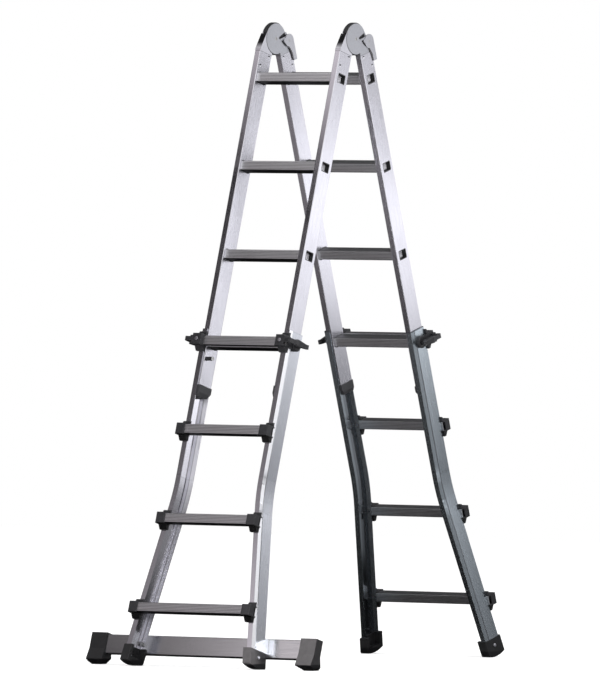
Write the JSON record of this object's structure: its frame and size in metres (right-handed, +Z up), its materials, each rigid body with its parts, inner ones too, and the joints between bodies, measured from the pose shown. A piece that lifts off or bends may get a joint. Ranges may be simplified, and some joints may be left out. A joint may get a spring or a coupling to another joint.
{
  "type": "articulated telescopic ladder",
  "caption": "Folding A-frame ladder with telescopic flared outer legs, disc hinges with release levers, slide locks beside the rails and a wide stabiliser bar behind the front feet.",
  "frame": {"origin": "on the floor, midway between the two halves and between the left and right rails", "axes": "+X along the rungs to the right-hand rails, -Y towards the front half with the stabiliser, +Z up"},
  "size_m": [0.86, 1.2766, 1.9469],
  "materials": {
    "inner_rail": "satin extruded",
    "outer_rail": "satin extruded",
    "rung": "ribbed extruded",
    "hinge_leaf": "satin",
    "lock_disc": "black satin",
    "release_lever": "satin",
    "bracket": "moulded, fine grain",
    "lock_lever": "moulded, fine grain",
    "end_cap": "moulded",
    "foot": "moulded, matt",
    "stabiliser_foot": "moulded, matt",
    "stabiliser_bar": "satin extruded",
    "stud": "black",
    "rivet": "bright",
    "pin_steel": "bright",
    "spring_steel": "drawn wire"
  },
  "bodies": {
    "front_inner": {"front_inner_rail_left": "inner_rail", "front_inner_rail_right": "inner_rail", "front_inner_rung_1": "rung", "front_inner_rung_2": "rung", "front_inner_rung_3": "rung", "front_inner_rung_4": "rung", "front_inner_end_caps": "end_cap", "front_stop_stud": "stud", "hinge_front_leaf_left": "hinge_leaf", "hinge_front_leaf_right": "hinge_leaf", "hinge_lock_discs": "lock_disc", "hinge_pivot_pins": "pin_steel", "front_hinge_rivets": "rivet"},
    "rear_inner": {"rear_inner_rail_left": "inner_rail", "rear_inner_rail_right": "inner_rail", "rear_inner_rung_1": "rung", "rear_inner_rung_2": "rung", "rear_inner_rung_3": "rung", "rear_inner_rung_4": "rung", "rear_inner_end_caps": "end_cap", "hinge_rear_leaf_left": "hinge_leaf", "hinge_rear_leaf_right": "hinge_leaf", "rear_hinge_rivets": "rivet", "release_lever_pins": "pin_steel", "release_lever_springs": "spring_steel"},
    "release_lever_left_body": {"release_lever_left": "release_lever"},
    "release_lever_right_body": {"release_lever_right": "release_lever"},
    "front_outer": {"front_outer_rail_left": "outer_rail", "front_outer_rail_right": "outer_rail", "front_lock_rung": "rung", "front_outer_rung_5": "rung", "front_outer_rung_6": "rung", "front_outer_rung_7": "rung", "front_rung_brackets": "bracket", "front_lock_brackets": "bracket", "front_outer_rivets": "rivet", "front_feet": "foot", "front_lock_pivot_pins": "pin_steel", "front_lock_springs": "spring_steel", "stabiliser_bar": "stabiliser_bar", "stabiliser_feet": "stabiliser_foot", "stabiliser_bolts": "pin_steel", "stabiliser_nuts": "pin_steel"},
    "rear_outer": {"rear_outer_rail_left": "outer_rail", "rear_outer_rail_right": "outer_rail", "rear_lock_rung": "rung", "rear_outer_rung_5": "rung", "rear_outer_rung_6": "rung", "rear_outer_rung_7": "rung", "rear_rung_brackets": "bracket", "rear_lock_brackets": "bracket", "rear_outer_rivets": "rivet", "rear_feet": "foot", "rear_lock_pivot_pins": "pin_steel", "rear_lock_springs": "spring_steel"},
    "front_lock_left_body": {"front_lock_lever_left": "lock_lever"},
    "front_lock_right_body": {"front_lock_lever_right": "lock_lever"},
    "rear_lock_left_body": {"rear_lock_lever_left": "lock_lever"},
    "rear_lock_right_body": {"rear_lock_lever_right": "lock_lever"}
  },
  "joints": [
    {"name": "fold", "type": "hinge", "parent": "front_inner", "child": "rear_inner", "pos_m": [0, 0, 1.8969], "axis": [1, 0, 0], "range_deg": [-31.7, 146.8]},
    {"name": "front_slide", "type": "slide", "parent": "front_inner", "child": "front_outer", "axis": [0, 0.2857, 0.9583], "range_m": [0, 0.84]},
    {"name": "rear_slide", "type": "slide", "parent": "rear_inner", "child": "rear_outer", "axis": [0, -0.2857, 0.9583], "range_m": [0, 0.84]},
    {"name": "release_left", "type": "hinge", "parent": "rear_inner", "child": "release_lever_left_body", "pos_m": [-0.15325, 0.06321, 1.8907], "axis": [1, 0, 0], "range_deg": [0, 6.5]},
    {"name": "release_right", "type": "hinge", "parent": "rear_inner", "child": "release_lever_right_body", "pos_m": [0.15325, 0.06321, 1.8907], "axis": [1, 0, 0], "range_deg": [0, 6.5]},
    {"name": "front_lock_left", "type": "hinge", "parent": "front_outer", "child": "front_lock_left_body", "pos_m": [-0.18, -0.36949, 0.98756], "axis": [0, 0.2857, 0.9583], "range_deg": [-9, 10]},
    {"name": "front_lock_right", "type": "hinge", "parent": "front_outer", "child": "front_lock_right_body", "pos_m": [0.18, -0.36949, 0.98756], "axis": [0, -0.2857, -0.9583], "range_deg": [-9, 10]},
    {"name": "rear_lock_left", "type": "hinge", "parent": "rear_outer", "child": "rear_lock_left_body", "pos_m": [-0.18, 0.36949, 0.98756], "axis": [0, 0.2857, -0.9583], "range_deg": [-9, 10]},
    {"name": "rear_lock_right", "type": "hinge", "parent": "rear_outer", "child": "rear_lock_right_body", "pos_m": [0.18, 0.36949, 0.98756], "axis": [0, -0.2857, 0.9583], "range_deg": [-9, 10]}
  ]
}
